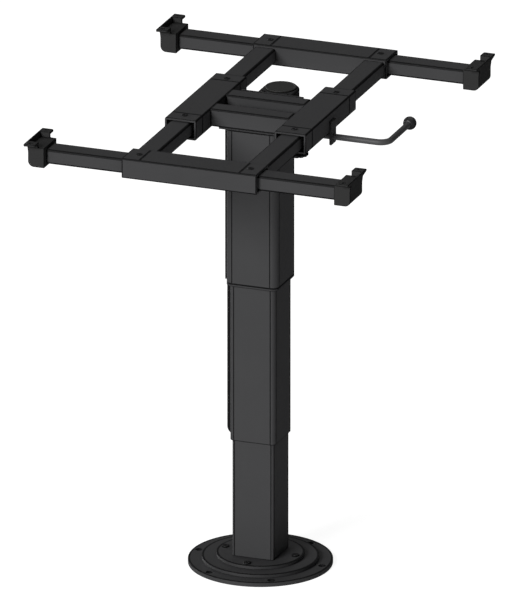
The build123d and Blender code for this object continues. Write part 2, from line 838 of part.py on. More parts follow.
parts = {
    "floor_flange": floor_flange(),
    "spacer_disc": drilled_disc(spacer_dia, spacer_bottom, spacer_thick),
    "foot_plate": drilled_disc(foot_dia, foot_bottom, foot_thick),
    "foot_bolts": foot_bolts(),
    "lower_tube": lower_tube(),
    "lower_glide": lower_glide(),
    "lower_belt_clamp": lower_belt_clamp(),
    "middle_tube": middle_tube(),
    "belt_guard": belt_guard(),
    "low_pulley": pulley(low_pulley_z),
    "high_pulley": pulley(high_pulley_z),
    "pulley_axles": pulley_axles(),
    "lift_belt": belt(),
    "middle_cap": middle_cap(),
    "middle_low_glide": middle_low_glide(),
    "middle_high_glide": middle_high_glide(),
    "gas_cylinder": gas_cylinder(),
    "upper_tube": upper_tube(),
    "upper_glide": upper_glide(),
    "upper_belt_clamp": upper_belt_clamp(),
    "head_plate": head_plate(),
    "front_cross_bar": cross_bar(-bar_offset),
    "rear_cross_bar": cross_bar(bar_offset),
    "bar_bolts": bar_bolts(),
    "rear_cover": rear_cover(),
    "rear_cover_lid": rear_cover_lid(),
    "rear_cover_screws": cover_screws(),
    "gas_rod": gas_rod(),
    "rod_bridge": rod_bridge(),
    "rod_nut": rod_nut(),
    "lever_guide": lever_guide(),
    "lever_bush": lever_bush(),
    "clamp_nut": clamp_nut(),
    "left_sleeve": long_sleeve(-sleeve_offset),
    "right_sleeve": drilled_right_sleeve(),
    "front_cross_sleeve": cross_sleeve(-cross_offset),
    "rear_cross_sleeve": cross_sleeve(cross_offset),
    "left_rail": rail(-sleeve_offset),
    "right_rail": rail(sleeve_offset),
    "front_arm": arm(-cross_offset),
    "rear_arm": arm(cross_offset),
    "front_left_bracket": end_bracket(-1, -cross_offset),
    "front_right_bracket": end_bracket(1, -cross_offset),
    "rear_left_bracket": end_bracket(-1, cross_offset),
    "rear_right_bracket": end_bracket(1, cross_offset),
    "lever_arm": lever_arm(),
    "lever_ball": lever_ball(),
    "release_finger": release_finger(),
    "release_pin": release_pin(),
    "clamp_screw": clamp_screw(),
}

sleeve_places = {
    "left": (True, Pos(-sleeve_offset, 0, sleeve_z)),
    "right": (True, Pos(sleeve_offset, 0, sleeve_z)),
    "front": (False, Pos(0, -cross_offset, sleeve_z)),
    "rear": (False, Pos(0, cross_offset, sleeve_z)),
}
for name, (along_y, place) in sleeve_places.items():
    parts[f"{name}_sleeve_collars"] = sleeve_collars(along_y, place)
    parts[f"{name}_sleeve_guides"] = slide_guides(along_y, place)

screw_reach = sleeve_half_long - sleeve_screw_from_end
parts["head_collar_screws"] = collar_screws([(x, y) for x in (-sleeve_offset, sleeve_offset)
                                             for y in (-screw_reach, screw_reach)])
parts["frame_collar_screws"] = collar_screws([(x, y) for x in (-screw_reach, screw_reach)
                                              for y in (-cross_offset, cross_offset)])

os.makedirs("parts", exist_ok=True)
for name, shape in parts.items():
    export_step(shape, f"parts/{name}.step")
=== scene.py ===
"""The looks of a lifting column for a table: its tubes, sleeves, brackets, lever and foot."""

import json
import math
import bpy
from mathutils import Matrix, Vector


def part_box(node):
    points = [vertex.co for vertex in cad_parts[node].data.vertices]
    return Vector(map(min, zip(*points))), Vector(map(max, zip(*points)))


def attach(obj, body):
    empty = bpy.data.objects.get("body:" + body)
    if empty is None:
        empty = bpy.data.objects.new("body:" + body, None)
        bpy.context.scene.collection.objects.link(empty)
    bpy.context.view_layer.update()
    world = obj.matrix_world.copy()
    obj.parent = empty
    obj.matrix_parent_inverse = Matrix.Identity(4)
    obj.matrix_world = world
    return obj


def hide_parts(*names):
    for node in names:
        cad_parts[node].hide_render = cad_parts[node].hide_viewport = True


bl_info = {
    "name": "Lifting Column Looks",
    "version": (1, 0, 0),
    "blender": (4, 5, 0),
    "location": "3D View > Sidebar > Column",
    "description": "Dresses a telescoping table column with rounded edges, fixings and finishes",
    "category": "Object",
}

import bmesh
import bpy
from mathutils import Matrix, Vector

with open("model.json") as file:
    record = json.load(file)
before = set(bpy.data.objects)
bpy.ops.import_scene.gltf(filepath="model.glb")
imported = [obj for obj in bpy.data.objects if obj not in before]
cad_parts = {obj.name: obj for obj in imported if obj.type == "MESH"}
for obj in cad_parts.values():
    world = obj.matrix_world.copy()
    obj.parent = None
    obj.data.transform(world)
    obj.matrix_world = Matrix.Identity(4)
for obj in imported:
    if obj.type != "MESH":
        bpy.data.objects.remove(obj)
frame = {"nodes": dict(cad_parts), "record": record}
NODES = frame["nodes"]
RECORD = frame["record"]
BODY_OF = {node: body for body, nodes in RECORD["behaviour"]["bodies"].items() for node in nodes}
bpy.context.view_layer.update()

MM = 0.001
X, Y, Z = range(3)
UP = Vector((0, 0, 1))
QUARTER_TURN, SIXTH_TURN = math.pi / 2, math.pi / 3

# An edge that turns more is hard, and faces that turn less become one
HARD, FLAT = math.radians(32), math.radians(0.5)
# The part of a normal along an axis, from which a wall's face is square to it
SQUARE = 0.99
# How near the profile of a turned form comes to its axis
AXIS = 0.02 * MM
# The faces round an eased corner
ARC_STEPS = 4

# Turns of a form that stands along Z, to lie along X or Y
LAID = (Matrix(((0, 0, 1, 0), (1, 0, 0, 0), (0, 1, 0, 0), (0, 0, 0, 1))),
        Matrix.Rotation(QUARTER_TURN, 4, "X"))

# The photograph's angles, its height in pixels, the size of one and the spot at its middle
PHOTO_TURN, PHOTO_RISE = 20.7, 19.9
PHOTO_TALL, PHOTO_PIXEL = 600, 1.44 * MM
PHOTO_CENTRE = Vector((-0.00067, -0.00025, 0.4023))


def linear(hex_colour):
    """An sRGB hex colour as linear red, green, blue and alpha."""
    parts = [int(hex_colour[i:i + 2], 16) / 255 for i in (1, 3, 5)]
    return [c / 12.92 if c <= 0.04045 else ((c + 0.055) / 1.055) ** 2.4 for c in parts] + [1.0]


# Settings


class ColumnFinish(bpy.types.PropertyGroup):
    """The colours of the column's surfaces."""

    coat: bpy.props.FloatVectorProperty(
        name="Powder coat", description="Colour of the coated steel", subtype="COLOR", size=4,
        min=0.0, max=1.0, default=linear("#303031"))
    casting: bpy.props.FloatVectorProperty(
        name="Castings", description="Colour of the coated end brackets", subtype="COLOR", size=4,
        min=0.0, max=1.0, default=linear("#1f1f1f"))
    moulding: bpy.props.FloatVectorProperty(
        name="Mouldings", description="Colour of the nylon parts", subtype="COLOR", size=4,
        min=0.0, max=1.0, default=linear("#2b2b2c"))
    cover: bpy.props.FloatVectorProperty(
        name="Rear cover", description="Colour of the rear cover", subtype="COLOR", size=4,
        min=0.0, max=1.0, default=linear("#1b1b1c"))
    lid: bpy.props.FloatVectorProperty(
        name="Cover lid", description="Colour of the rear cover's lid", subtype="COLOR", size=4,
        min=0.0, max=1.0, default=linear("#242423"))
    # Painted shade: this near-black colour is painted on rounded edges, corner rounds, seams and
    # bands as dark shade lines; the finish does not really draw back there
    edges: bpy.props.FloatVectorProperty(
        name="Edges", description="Colour where the finish draws back from an edge",
        subtype="COLOR", size=4, min=0.0, max=1.0, default=linear("#0b0b0c"))
    lever: bpy.props.FloatVectorProperty(
        name="Lever", description="Colour of the lever's bar", subtype="COLOR", size=4,
        min=0.0, max=1.0, default=linear("#3e3e3f"))
    ball: bpy.props.FloatVectorProperty(
        name="Ball", description="Colour of the lever's ball", subtype="COLOR", size=4,
        min=0.0, max=1.0, default=linear("#202021"))
    peel: bpy.props.FloatProperty(
        name="Coat texture", description="Width of one ripple in the powder coat", unit="LENGTH",
        min=0.5 * MM, max=10 * MM, default=3.0 * MM)


class ColumnSizes(bpy.types.PropertyGroup):
    """The sizes that the looks add to the column."""

    tube_edge: bpy.props.FloatProperty(
        name="Tube edges", description="Rounding of sawn and deburred tube ends", unit="LENGTH",
        min=0.1 * MM, max=1 * MM, default=0.5 * MM)
    # Painted shade: the band that this sets beside a tube's end is painted dark, as a shade line
    # where it meets the next part
    tube_band: bpy.props.FloatProperty(
        name="Tube end bands", description="Bared band beside a tube's end", unit="LENGTH",
        min=0.1 * MM, max=3 * MM, default=1.9 * MM)
    # Painted shade: the line that this sets is painted dark where a corner starts to bend
    bend_line: bpy.props.FloatProperty(
        name="Bend lines", description="Bared line where a tube's corner starts to bend",
        unit="LENGTH", min=0.1 * MM, max=3 * MM, default=1.7 * MM)
    seam_edge: bpy.props.FloatProperty(
        name="Collar seams", description="Rounding on each side of a collar's seam", unit="LENGTH",
        min=0.1 * MM, max=1 * MM, default=0.6 * MM)
    casting_edge: bpy.props.FloatProperty(
        name="Casting edges", description="Rounding of the end brackets' edges", unit="LENGTH",
        min=0.1 * MM, max=1.2 * MM, default=1.0 * MM)
    disc_edge: bpy.props.FloatProperty(
        name="Disc edges", description="Rounding of the foot discs' rims", unit="LENGTH",
        min=0.1 * MM, max=1.2 * MM, default=0.5 * MM)
    # Painted shade: the band that this sets along a disc's rim is painted dark
    disc_band: bpy.props.FloatProperty(
        name="Disc rim bands", description="Bared band on top of a disc, along its rim",
        unit="LENGTH", min=0.1 * MM, max=4 * MM, default=3.2 * MM)
    sleeve_wall: bpy.props.FloatProperty(
        name="Sleeve wall", description="Wall thickness of the sleeves and their collars",
        unit="LENGTH", min=1 * MM, max=6 * MM, default=3.4 * MM)
    collar_long: bpy.props.FloatProperty(
        name="Collar length", description="Length of a sleeve's end collar", unit="LENGTH",
        min=5 * MM, max=60 * MM, default=27 * MM)
    tube_wall: bpy.props.FloatProperty(
        name="Sliding tube wall", description="Wall thickness of the rails and arms", unit="LENGTH",
        min=1 * MM, max=4 * MM, default=2 * MM)
    grip_count: bpy.props.IntProperty(
        name="Grip flutes", description="Flutes round the slide clamp's knob", min=6, max=48,
        default=12)


class ColumnStudio(bpy.types.PropertyGroup):
    """The floor, light and camera."""

    floor: bpy.props.FloatVectorProperty(
        name="Floor", description="Colour of the studio floor", subtype="COLOR", size=4,
        min=0.0, max=1.0, default=linear("#fafafa"))
    key: bpy.props.FloatProperty(
        name="Key light", description="Strength of the main light", min=0.0, max=20.0, default=3.85)
    room: bpy.props.FloatProperty(
        name="Room light", description="Strength of the light from all round", min=0.0, max=5.0,
        default=0.03)
    glow: bpy.props.FloatProperty(
        name="Floor glow", description="Light that the lit studio floor gives off", min=0.0,
        max=2.0, default=0.93)
    fill: bpy.props.FloatProperty(
        name="Fill light", description="Strength of the light from the left and behind", min=0.0,
        max=20.0, default=1.6)
    top: bpy.props.FloatProperty(
        name="Top light", description="Strength of the light from above and behind", min=0.0,
        max=20.0, default=0.6)
    lens: bpy.props.FloatProperty(
        name="Lens", description="Focal length, long enough to hide perspective", unit="CAMERA",
        min=50.0, max=1500.0, default=1500.0)


# Materials


def add(tree, kind, inputs=None, **settings):
    """Adds a node with its settings, and fills or links its inputs."""
    node = tree.nodes.new(kind)
    for key, value in settings.items():
        setattr(node, key, value)
    for key, value in (inputs or {}).items():
        if isinstance(value, bpy.types.NodeSocket):
            tree.links.new(value, node.inputs[key])
        else:
            node.inputs[key].default_value = value
    return node


def surface(name, colour, roughness, metallic=0.0, specular=0.5, coat=0.0):
    """A new material with its shader, and the coordinates its patterns follow."""
    material = bpy.data.materials.new(name)
    material.use_nodes = True
    tree = material.node_tree
    shader = tree.nodes["Principled BSDF"]
    shader.inputs["Base Color"].default_value = colour
    shader.inputs["Roughness"].default_value = roughness
    shader.inputs["Metallic"].default_value = metallic
    shader.inputs["Specular IOR Level"].default_value = specular
    shader.inputs["Coat Weight"].default_value = coat
    place = add(tree, "ShaderNodeTexCoord").outputs["Object"]
    return material, tree, shader, place


def tone(tree, shader, place, colour, size, change):
    """Lets the colour drift a little from place to place."""
    cloud = add(tree, "ShaderNodeTexNoise", {"Vector": place, "Scale": 1 / size, "Detail": 3.0})
    dark = [c * (1 - change) for c in colour[:3]] + [1.0]
    light = [c * (1 + change) for c in colour[:3]] + [1.0]
    mixed = add(tree, "ShaderNodeMix", {0: cloud.outputs["Fac"], 6: dark, 7: light},
                data_type="RGBA")
    tree.links.new(mixed.outputs[2], shader.inputs["Base Color"])


def grain(tree, shader, place, size, depth, rough_from, rough_to):
    """A fine raised grain, with the hollows a little glossier than the tops."""
    field = add(tree, "ShaderNodeTexNoise", {"Vector": place, "Scale": 1 / size, "Detail": 2.0})
    bump = add(tree, "ShaderNodeBump",
               {"Height": field.outputs["Fac"], "Strength": 0.5, "Distance": depth})
    tree.links.new(bump.outputs["Normal"], shader.inputs["Normal"])
    rough = add(tree, "ShaderNodeMapRange", {"Value": field.outputs["Fac"], "To Min": rough_from,
                                             "To Max": rough_to})
    tree.links.new(rough.outputs["Result"], shader.inputs["Roughness"])


def powder_coat(name, colour, peel):
    """Epoxy powder baked on steel: an even satin skin with a soft orange-peel ripple."""
    # The real ripple is 1 to 2 mm wide. It is drawn at the size in the settings so that it shows.
    material, tree, shader, place = surface(name, colour, roughness=0.5, specular=0.25)
    tone(tree, shader, place, colour, size=45 * MM, change=0.06)
    grain(tree, shader, place, size=peel, depth=0.12 * MM, rough_from=0.48, rough_to=0.58)
    return material


def coated_casting(name, colour, peel):
    """Powder coat on die-cast zinc: the same skin, a little rougher from the tumbling."""
    material, tree, shader, place = surface(name, colour, roughness=0.55, specular=0.25)
    tone(tree, shader, place, colour, size=20 * MM, change=0.10)
    grain(tree, shader, place, size=peel * 0.6, depth=0.15 * MM, rough_from=0.5, rough_to=0.66)
    return material


def painted_edge_shade(name, colour):
    """Painted shade for edges, corner rounds and bands: a near-black surface, darker and duller,
    with little gloss so that no highlight shows.
    """
    material, tree, shader, place = surface(name, colour, roughness=0.6, specular=0.12)
    tone(tree, shader, place, colour, size=6 * MM, change=0.25)
    grain(tree, shader, place, size=1.2 * MM, depth=0.05 * MM, rough_from=0.5, rough_to=0.7)
    return material


def moulded_nylon(name, colour):
    """Glass-filled nylon from a spark-eroded mould: matte, with a tight grain."""
    material, tree, shader, place = surface(name, colour, roughness=0.6, specular=0.25)
    tone(tree, shader, place, colour, size=30 * MM, change=0.05)
    grain(tree, shader, place, size=1.6 * MM, depth=0.08 * MM, rough_from=0.56, rough_to=0.7)
    return material


def moulded_phenolic(name, colour):
    """Phenolic resin pressed in a polished mould: smooth, softly glossy, faintly mottled."""
    material, tree, shader, place = surface(name, colour, roughness=0.36, specular=0.4)
    tone(tree, shader, place, colour, size=8 * MM, change=0.08)
    grain(tree, shader, place, size=4 * MM, depth=0.02 * MM, rough_from=0.32, rough_to=0.42)
    return material


def blackened_steel(name):
    """Screw steel under black oxide and oil: a thin skin with a soft, slightly blotchy gloss."""
    colour = linear("#0e0e0f")
    material, tree, shader, place = surface(name, colour, roughness=0.5, specular=0.2)
    tone(tree, shader, place, colour, size=3 * MM, change=0.2)
    grain(tree, shader, place, size=1.5 * MM, depth=0.03 * MM, rough_from=0.44, rough_to=0.58)
    return material


def bright_steel(name, stretch):
    """Ground steel: bright, with fine lines along the axis whose stretch is below 1."""
    colour = linear("#b9babb")
    material, tree, shader, place = surface(name, colour, roughness=0.28, metallic=1.0)
    tone(tree, shader, place, colour, size=12 * MM, change=0.06)
    # Grinding lines are 0.05 mm apart. They are drawn 0.8 mm apart so that they show.
    lines = add(tree, "ShaderNodeMapping", {"Vector": place, "Scale": stretch})
    grain(tree, shader, lines.outputs["Vector"], size=0.8 * MM, depth=0.02 * MM, rough_from=0.22,
          rough_to=0.38)
    return material


def acetal(name):
    """Acetal bearing plastic: dense, smooth and slightly waxy."""
    colour = linear("#2c2c2d")
    material, tree, shader, place = surface(name, colour, roughness=0.42, specular=0.45)
    tone(tree, shader, place, colour, size=15 * MM, change=0.06)
    grain(tree, shader, place, size=3 * MM, depth=0.03 * MM, rough_from=0.38, rough_to=0.48)
    return material


def belt_rubber(name):
    """Polyurethane belt on a cloth back: dull, with a soft rib across it every 12.6 mm."""
    colour = linear("#1d1d1e")
    material, tree, shader, place = surface(name, colour, roughness=0.8, specular=0.3)
    tone(tree, shader, place, colour, size=10 * MM, change=0.1)
    # A wave is 2 pi / (20 x scale) metres long
    ribs = add(tree, "ShaderNodeTexWave", {"Vector": place, "Scale": 25.0, "Distortion": 0.4},
               wave_type="BANDS", bands_direction="Z", wave_profile="SIN")
    bump = add(tree, "ShaderNodeBump",
               {"Height": ribs.outputs["Fac"], "Strength": 0.7, "Distance": 0.3 * MM})
    tree.links.new(bump.outputs["Normal"], shader.inputs["Normal"])
    return material


def black_enamel(name):
    """Stoved enamel on the gas spring's tube: deep black and smooth."""
    colour = linear("#181819")
    material, tree, shader, place = surface(name, colour, roughness=0.25, coat=0.2)
    tone(tree, shader, place, colour, size=40 * MM, change=0.1)
    grain(tree, shader, place, size=5 * MM, depth=0.02 * MM, rough_from=0.2, rough_to=0.3)
    return material


FINISHES = {}


def make_finishes():
    """Every finish of the column, once."""
    finish = bpy.context.scene.column_finish
    FINISHES.update({
        "coat": powder_coat("Powder coated steel", finish.coat, finish.peel),
        "casting": coated_casting("Powder coated zinc casting", finish.casting, finish.peel),
        "moulding": moulded_nylon("Glass filled nylon", finish.moulding),
        "cover": moulded_nylon("Carbon black nylon", finish.cover),
        "lid": moulded_nylon("Carbon black nylon lid", finish.lid),
        # Painted shade: the _edge finishes darken edges, corner rounds, seams and bands as shade
        # lines
        "coat_edge": painted_edge_shade("Painted shade on steel edges", finish.edges),
        "casting_edge": painted_edge_shade("Painted shade on casting edges", finish.edges),
        "moulding_edge": painted_edge_shade("Painted shade on nylon edges", finish.edges),
        "cover_edge": painted_edge_shade("Painted shade on cover edges", finish.edges),
        "lever": powder_coat("Powder coated lever steel", finish.lever, finish.peel),
        "ball": moulded_phenolic("Pressed phenolic resin", finish.ball),
        "screw": blackened_steel("Blackened screw steel"),
        "rod": bright_steel("Ground steel rod", (1.0, 1.0, 0.05)),
        "steel": bright_steel("Milled steel", (0.1, 1.0, 1.0)),
        "acetal": acetal("Acetal"),
        "belt": belt_rubber("Polyurethane belt"),
        "enamel": black_enamel("Black stoved enamel"),
    })


# Making meshes


def around(count):
    """Evenly spaced angles, once round."""
    return [2 * math.pi * i / count for i in range(count)]


def swept(start, end, steps):
    """Evenly spaced angles from one to another, with both."""
    return [start + (end - start) * i / steps for i in range(steps + 1)]


def skin(rings, wrapped=False):
    """A mesh stretched over rings of points, capped at both ends or wrapped to the first ring."""
    form = bmesh.new()
    layers = [[form.verts.new(point) for point in ring] for ring in rings]
    pairs = list(zip(layers, layers[1:])) + ([(layers[-1], layers[0])] if wrapped else [])
    for low, high in pairs:
        for i in range(len(low)):
            j = (i + 1) % len(low)
            form.faces.new((low[i], low[j], high[j], high[i]))
    if not wrapped:
        form.faces.new(list(reversed(layers[0])))
        form.faces.new(layers[-1])
    bmesh.ops.recalc_face_normals(form, faces=form.faces)
    mesh = bpy.data.meshes.new("skin")
    form.to_mesh(mesh)
    form.free()
    return mesh


def eased(points, radii):
    """A profile with arcs of the given radii in place of its corners."""
    out = []
    for i, (point, radius) in enumerate(zip(points, radii)):
        here = Vector(point)
        if radius == 0.0:
            out.append(here)
            continue
        before = (Vector(points[i - 1]) - here).normalized()
        after = (Vector(points[(i + 1) % len(points)]) - here).normalized()
        half = before.angle(after) / 2
        centre = here + (before + after).normalized() * radius / math.sin(half)
        start = here + before * radius / math.tan(half) - centre
        end = here + after * radius / math.tan(half) - centre
        out += [centre + start.slerp(end, step / ARC_STEPS).normalized() * radius
                for step in range(ARC_STEPS + 1)]
    return out


def turned(profile, count=96, wrapped=False):
    """A form turned about Z from a profile of radius and height."""
    turns = around(count)
    rings = [[(r * math.cos(t), r * math.sin(t), z) for t in turns] for r, z in profile]
    return skin(rings, wrapped=wrapped)


def joined(meshes):
    """Several meshes as one."""
    form = bmesh.new()
    for mesh in meshes:
        form.from_mesh(mesh)
    whole = bpy.data.meshes.new("joined")
    form.to_mesh(whole)
    form.free()
    return whole


def moved(mesh, matrix):
    """A copy of a mesh in another place."""
    copy = mesh.copy()
    copy.transform(matrix)
    return copy


def welded(node):
    """A copy of a CAD node's mesh, with its triangles joined and its flat faces made whole."""
    form = bmesh.new()
    form.from_mesh(NODES[node].data)
    bmesh.ops.remove_doubles(form, verts=form.verts, dist=0.002 * MM)
    bmesh.ops.dissolve_limit(form, angle_limit=FLAT, verts=form.verts, edges=form.edges)
    mesh = bpy.data.meshes.new("welded")
    form.to_mesh(mesh)
    form.free()
    return mesh


def evaluated(thing):
    """The mesh of an object with its modifiers done."""
    bpy.context.view_layer.update()
    shaped = thing.evaluated_get(bpy.context.evaluated_depsgraph_get())
    return bpy.data.meshes.new_from_object(shaped)


def holding(mesh):
    """A throw-away object that holds a mesh while modifiers work on it."""
    thing = bpy.data.objects.new("holding", mesh)
    bpy.context.scene.collection.objects.link(thing)
    return thing


def slotted(mesh, *materials):
    """Gives a mesh its material slots and keeps which slot each face uses."""
    used = [0] * len(mesh.polygons)
    mesh.polygons.foreach_get("material_index", used)
    mesh.materials.clear()
    for material in materials:
        mesh.materials.append(material)
    mesh.polygons.foreach_set("material_index", used)


def anywhere(spot):
    """Every place counts."""
    return True


def upright(face):
    """Whether a face stands rather than lies."""
    return abs(face.normal.z) < 0.5


def painted_shade(mesh, rule):
    """Puts the faces that a rule picks in the second slot, which carries the painted shade."""
    slotted(mesh, None, None)
    for face in mesh.polygons:
        if rule(face):
            face.material_index = 1
    return mesh


def split(mesh, axis, places):
    """Cuts a mesh's faces along planes across an axis, and keeps both sides."""
    form = bmesh.new()
    form.from_mesh(mesh)
    across = Vector([float(axis == way) for way in (X, Y, Z)])
    for place in places:
        everything = form.verts[:] + form.edges[:] + form.faces[:]
        bmesh.ops.bisect_plane(form, geom=everything, dist=0.005 * MM, plane_co=across * place,
                               plane_no=across)
    form.to_mesh(mesh)
    form.free()
    return mesh


def rounded(mesh, edge, where=anywhere):
    """A mesh with its hard edges rounded, the rounds in the second slot, which carries the painted
    edge shade where the finish has one, and its flat faces shaded flat.
    """
    slotted(mesh, None, None)
    form = bmesh.new()
    form.from_mesh(mesh)
    weight = form.edges.layers.float.new("bevel_weight_edge")
    for line in form.edges:
        hard = len(line.link_faces) == 2 and line.calc_face_angle() > HARD
        picked = hard and where((line.verts[0].co + line.verts[1].co) / 2)
        line[weight] = float(picked)
        line.smooth = picked or not hard
    for face in form.faces:
        face.smooth = True
    form.to_mesh(mesh)
    form.free()
    thing = holding(mesh)
    if edge > 0.0:
        bevel = thing.modifiers.new("edges", "BEVEL")
        bevel.width = edge
        bevel.segments = 2
        # The rounds take the second slot: painted shade along every rounded edge
        bevel.material = 1
        bevel.limit_method = "WEIGHT"
        bevel.use_clamp_overlap = False
        bevel.loop_slide = False
    normals = thing.modifiers.new("shading", "WEIGHTED_NORMAL")
    normals.keep_sharp = True
    result = evaluated(thing)
    bpy.data.objects.remove(thing)
    return result


def cut(mesh, cutter):
    """A mesh with another cut away from it."""
    thing, tool = holding(mesh), holding(cutter)
    boolean = thing.modifiers.new("cut", "BOOLEAN")
    boolean.operation = "DIFFERENCE"
    boolean.solver = "EXACT"
    boolean.object = tool
    result = evaluated(thing)
    bpy.data.objects.remove(thing)
    bpy.data.objects.remove(tool)
    return result


def piece(name, mesh, finish, node):
    """Makes a finished piece that rides on the body of the node it stands for."""
    slotted(mesh, FINISHES[finish], FINISHES.get(f"{finish}_edge", FINISHES[finish]))
    thing = bpy.data.objects.new(name, mesh)
    mesh.name = name
    bpy.context.scene.collection.objects.link(thing)
    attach(thing, BODY_OF[node])
    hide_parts(node)


def dress(finish, *nodes):
    """Gives CAD nodes that keep their shape a finish."""
    for node in nodes:
        NODES[node].data.materials.clear()
        NODES[node].data.materials.append(FINISHES[finish])


# Geometry node trees


def new_tree(name, **labels):
    """A geometry node tree with named inputs of each kind, and its two end nodes."""
    tree = bpy.data.node_groups.new(name, "GeometryNodeTree")
    for kind, names in labels.items():
        for label in names:
            tree.interface.new_socket(name=label, in_out="INPUT", socket_type=f"NodeSocket{kind}")
    tree.interface.new_socket(name="Geometry", in_out="OUTPUT", socket_type="NodeSocketGeometry")
    return tree, add(tree, "NodeGroupInput").outputs, add(tree, "NodeGroupOutput")


def grown(tree, **values):
    """The plain mesh that a tree makes from its inputs."""
    seed = holding(bpy.data.meshes.new("seed"))
    modifier = seed.modifiers.new("grow", "NODES")
    modifier.node_group = tree
    for item in tree.interface.items_tree:
        key = item.name.lower().replace(" ", "_")
        if item.in_out == "INPUT" and key in values:
            modifier[item.identifier] = values[key]
    mesh = evaluated(seed)
    mesh.polygons.foreach_set("material_index", [0] * len(mesh.polygons))
    bpy.data.objects.remove(seed)
    return mesh


def worked_out(tree, operation, *values):
    """The result of a sum on one or two values."""
    return add(tree, "ShaderNodeMath", dict(enumerate(values)), operation=operation).outputs[0]


def upward(tree, height):
    """A height as an offset along Z."""
    return add(tree, "ShaderNodeCombineXYZ", {"Z": height}).outputs[0]


def raised(tree, face, height):
    """A flat face drawn up into a closed solid."""
    sides = add(tree, "GeometryNodeExtrudeMesh",
                {"Mesh": face, "Offset": upward(tree, height), "Offset Scale": 1.0,
                 "Individual": False}, mode="FACES")
    under = add(tree, "GeometryNodeFlipFaces", {"Mesh": face})
    whole = add(tree, "GeometryNodeJoinGeometry")
    for part in (sides, under):
        tree.links.new(part.outputs[0], whole.inputs[0])
    closed = add(tree, "GeometryNodeMergeByDistance",
                 {"Geometry": whole.outputs[0], "Distance": 0.01 * MM})
    return closed.outputs[0]


def finished(tree, given, out, geometry):
    """Ends a tree with its geometry made real, in the given material."""
    real = add(tree, "GeometryNodeRealizeInstances", {"Geometry": geometry})
    coated = add(tree, "GeometryNodeSetMaterial",
                 {"Geometry": real.outputs[0], "Material": given["Material"]})
    tree.links.new(coated.outputs[0], out.inputs[0])
    return tree


def hollow_section_tree():
    """A tube of rectangular section with rounded corners, along Z and centred."""
    tree, given, out = new_tree("Hollow section", Float=("Wide", "High", "Wall", "Corner", "Long"),
                                Material=("Material",))
    corner_steps, least_corner = 6, 0.4 * MM

    def loop(wide, high, corner):
        outline = add(tree, "GeometryNodeCurvePrimitiveQuadrilateral",
                      {"Width": wide, "Height": high})
        soft = add(tree, "GeometryNodeFilletCurve",
                   {"Curve": outline.outputs[0], "Count": corner_steps, "Radius": corner,
                    "Limit Radius": True}, mode="POLY")
        return soft.outputs[0]

    walls = worked_out(tree, "MULTIPLY", given["Wall"], 2.0)
    bore_wide = worked_out(tree, "SUBTRACT", given["Wide"], walls)
    bore_high = worked_out(tree, "SUBTRACT", given["High"], walls)
    inside = worked_out(tree, "SUBTRACT", given["Corner"], given["Wall"])
    bore_corner = worked_out(tree, "MAXIMUM", inside, least_corner)
    both = add(tree, "GeometryNodeJoinGeometry")
    tree.links.new(loop(given["Wide"], given["High"], given["Corner"]), both.inputs[0])
    tree.links.new(loop(bore_wide, bore_high, bore_corner), both.inputs[0])
    end = add(tree, "GeometryNodeFillCurve", {"Curve": both.outputs[0]}).outputs[0]
    half_down = worked_out(tree, "MULTIPLY", given["Long"], -0.5)
    centred = add(tree, "GeometryNodeTransform",
                  {"Geometry": raised(tree, end, given["Long"]),
                   "Translation": upward(tree, half_down)})
    return finished(tree, given, out, centred.outputs[0])


def on_points(tree, given, out, points):
    """Ends a tree that puts a fixing on each point, each turned by its own seeded amount."""
    lifted = add(tree, "GeometryNodeSetPosition",
                 {"Geometry": points, "Offset": upward(tree, given["Height"])})
    turn = add(tree, "FunctionNodeRandomValue",
               {0: (0, 0, 0), 1: (0, 0, SIXTH_TURN), "Seed": 5}, data_type="FLOAT_VECTOR")
    fixing = add(tree, "GeometryNodeObjectInfo", {"Object": given["Fixing"]})
    copies = add(tree, "GeometryNodeInstanceOnPoints",
                 {"Points": lifted.outputs[0], "Instance": fixing.outputs["Geometry"],
                  "Rotation": turn.outputs[0]})
    return finished(tree, given, out, copies.outputs[0])


def ring_of_fixings_tree():
    """Fixings on a circle about Z."""
    tree, given, out = new_tree("Ring of fixings", Object=("Fixing",), Int=("Count",),
                                Float=("Radius", "Height"), Material=("Material",))
    ring = add(tree, "GeometryNodeMeshCircle",
               {"Vertices": given["Count"], "Radius": given["Radius"]})
    return on_points(tree, given, out, ring.outputs[0])


def four_fixings_tree():
    """Fixings at the corners of a rectangle, or at the ends of a line."""
    tree, given, out = new_tree("Fixings at corners", Object=("Fixing",), Int=("Rows",),
                                Float=("Apart X", "Apart Y", "Height"), Material=("Material",))
    grid = add(tree, "GeometryNodeMeshGrid",
               {"Size X": given["Apart X"], "Size Y": given["Apart Y"], "Vertices X": 2,
                "Vertices Y": given["Rows"]})
    return on_points(tree, given, out, grid.outputs[0])


